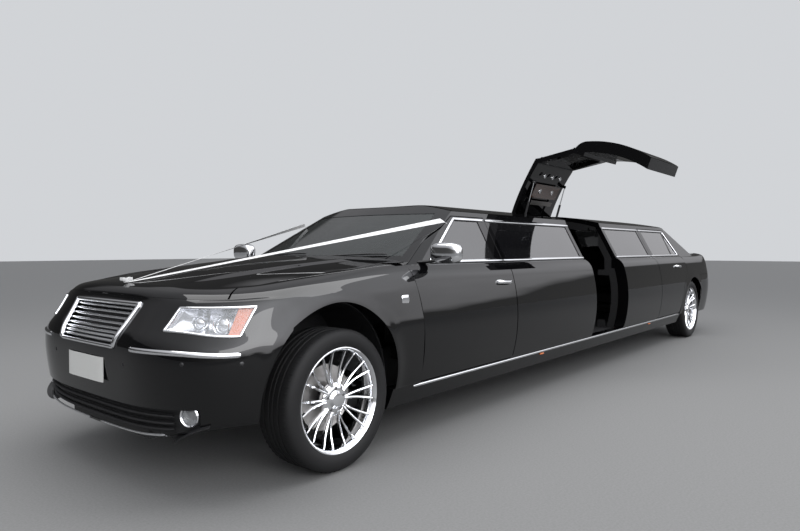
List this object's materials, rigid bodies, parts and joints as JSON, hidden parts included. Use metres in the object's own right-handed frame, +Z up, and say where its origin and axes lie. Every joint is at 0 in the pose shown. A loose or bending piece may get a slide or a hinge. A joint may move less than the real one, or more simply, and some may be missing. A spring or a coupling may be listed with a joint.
{
  "type": "stretch limousine",
  "caption": "Long gloss-black stretch limousine with a roof-hinged centre door, hinged side doors, bonnet and boot lid, and steered, turning wheels.",
  "frame": {"origin": "on the ground, on the centre plane, midway between the tips of nose and tail", "axes": "+X to the nose, +Y to the car's left side, +Z up"},
  "size_m": [8.349, 2.5116, 2.1046],
  "materials": {
    "body_paint": "deep gloss black lacquer",
    "tinted_glass": "dark tinted, polished",
    "clear_glass": "light tint, polished",
    "lamp_glass": "clear polished lens",
    "lamp_red": "glossy red lens",
    "black_plastic": "fine-grained black",
    "chassis_black": "satin black underbody paint",
    "casting": "as cast",
    "steel_pipe": "dull steel",
    "chrome": "mirror-bright plating",
    "tyre_rubber": "black rubber",
    "leather": "black upholstery",
    "cabinet_gloss": "dark brown piano gloss"
  },
  "bodies": {
    "body": {"roof": "body_paint", "stretch_panels": "body_paint", "quarter_panels": "body_paint", "front_fenders": "body_paint", "front_bumper": "body_paint", "rear_bumper": "body_paint", "sills": "body_paint", "fixed_side_glass": "tinted_glass", "rear_screen": "tinted_glass", "windscreen": "clear_glass", "headlamps": "lamp_glass", "tail_lamps": "lamp_red", "cowl_panel": "black_plastic", "wheelhouse_liners": "black_plastic", "dashboard": "black_plastic", "rear_shelf": "black_plastic", "doorway_frame": "black_plastic", "chassis": "chassis_black", "bulkheads": "chassis_black", "front_subframe": "chassis_black", "rear_axle": "chassis_black", "prop_shaft": "chassis_black", "engine_block": "casting", "exhaust": "steel_pipe", "grille": "chrome", "front_seats": "leather", "lounge_seat": "leather", "partition": "cabinet_gloss", "bar_cabinet": "cabinet_gloss"},
    "bonnet": {"bonnet": "body_paint"},
    "boot_lid": {"boot_lid": "body_paint"},
    "front_door_left": {"front_door_left": "body_paint", "front_door_glass_left": "tinted_glass", "mirror_left": "chrome"},
    "front_door_right": {"front_door_right": "body_paint", "front_door_glass_right": "tinted_glass", "mirror_right": "chrome"},
    "rear_door_left": {"rear_door_left": "body_paint", "rear_door_glass_left": "tinted_glass"},
    "rear_door_right": {"rear_door_right": "body_paint", "rear_door_glass_right": "tinted_glass"},
    "jet_door": {"jet_door": "body_paint", "jet_door_glass": "tinted_glass"},
    "strut_tubes": {"strut_tubes": "chassis_black"},
    "strut_rods": {"strut_rods": "chrome"},
    "knuckle_left": {"knuckle_left": "casting"},
    "knuckle_right": {"knuckle_right": "casting"},
    "wheel_front_left": {"rim_front_left": "chrome", "tyre_front_left": "tyre_rubber"},
    "wheel_front_right": {"rim_front_right": "chrome", "tyre_front_right": "tyre_rubber"},
    "wheel_rear_left": {"rim_rear_left": "chrome", "tyre_rear_left": "tyre_rubber"},
    "wheel_rear_right": {"rim_rear_right": "chrome", "tyre_rear_right": "tyre_rubber"},
    "steering_wheel": {"steering_wheel": "leather"}
  },
  "joints": [
    {"name": "front_door_left_hinge", "type": "hinge", "parent": "body", "child": "front_door_left", "pos_m": [2.7045, 0.957, 0.7], "axis": [0, 0, -1], "range_deg": [0, 65]},
    {"name": "front_door_right_hinge", "type": "hinge", "parent": "body", "child": "front_door_right", "pos_m": [2.7045, -0.957, 0.7], "axis": [0, 0, 1], "range_deg": [0, 65]},
    {"name": "rear_door_left_hinge", "type": "hinge", "parent": "body", "child": "rear_door_left", "pos_m": [-1.7405, 0.957, 0.7], "axis": [0, 0, -1], "range_deg": [0, 65]},
    {"name": "rear_door_right_hinge", "type": "hinge", "parent": "body", "child": "rear_door_right", "pos_m": [-1.7405, -0.957, 0.7], "axis": [0, 0, 1], "range_deg": [0, 65]},
    {"name": "jet_door_hinge", "type": "hinge", "parent": "body", "child": "jet_door", "pos_m": [-0.273, 0.075, 1.486], "axis": [1, 0, 0], "range_deg": [-71, 0]},
    {"name": "bonnet_hinge", "type": "hinge", "parent": "body", "child": "bonnet", "pos_m": [2.733, 0, 1.072], "axis": [0, -1, 0], "range_deg": [0, 50]},
    {"name": "boot_lid_hinge", "type": "hinge", "parent": "body", "child": "boot_lid", "pos_m": [-3.4645, 0, 1.112], "axis": [0, 1, 0], "range_deg": [0, 70]},
    {"name": "steer_left", "type": "hinge", "parent": "body", "child": "knuckle_left", "pos_m": [3.3095, 0.7305, 0.364], "axis": [0, 0, 1], "range_deg": [-33, 33]},
    {"name": "steer_right", "type": "hinge", "parent": "body", "child": "knuckle_right", "pos_m": [3.3095, -0.7305, 0.364], "axis": [0, 0, 1], "range_deg": [-33, 33]},
    {"name": "steering_wheel_turn", "type": "hinge", "parent": "body", "child": "steering_wheel", "pos_m": [2.44797, -0.39, 0.89965], "axis": [-0.9063, 0, 0.4226], "range_deg": [-500, 500]},
    {"name": "spin_front_left", "type": "hinge", "parent": "knuckle_left", "child": "wheel_front_left", "pos_m": [3.3095, 0.8055, 0.364], "axis": [0, 1, 0], "continuous": true},
    {"name": "spin_front_right", "type": "hinge", "parent": "knuckle_right", "child": "wheel_front_right", "pos_m": [3.3095, -0.8055, 0.364], "axis": [0, 1, 0], "continuous": true},
    {"name": "spin_rear_left", "type": "hinge", "parent": "body", "child": "wheel_rear_left", "pos_m": [-3.0445, 0.8055, 0.364], "axis": [0, 1, 0], "continuous": true},
    {"name": "spin_rear_right", "type": "hinge", "parent": "body", "child": "wheel_rear_right", "pos_m": [-3.0445, -0.8055, 0.364], "axis": [0, 1, 0], "continuous": true},
    {"name": "strut_foot_pivot", "type": "hinge", "parent": "body", "child": "strut_tubes", "pos_m": [-0.273, 0.185, 1.387], "axis": [1, 0, 0], "range_deg": [-78, 0]},
    {"name": "strut_rod_slide", "type": "slide", "parent": "strut_tubes", "child": "strut_rods", "axis": [0, 0.2789, 0.9603], "range_m": [-0.168, 0]}
  ],
  "couplings": [
    {"joint": "steer_right", "follows": "steer_left", "ratio": 1},
    {"joint": "steering_wheel_turn", "follows": "steer_left", "ratio": 15},
    {"joint": "strut_foot_pivot", "follows": "jet_door_hinge", "ratio": 1.0954},
    {"joint": "strut_rod_slide", "follows": "jet_door_hinge", "m_per_rad": 0.13533}
  ]
}
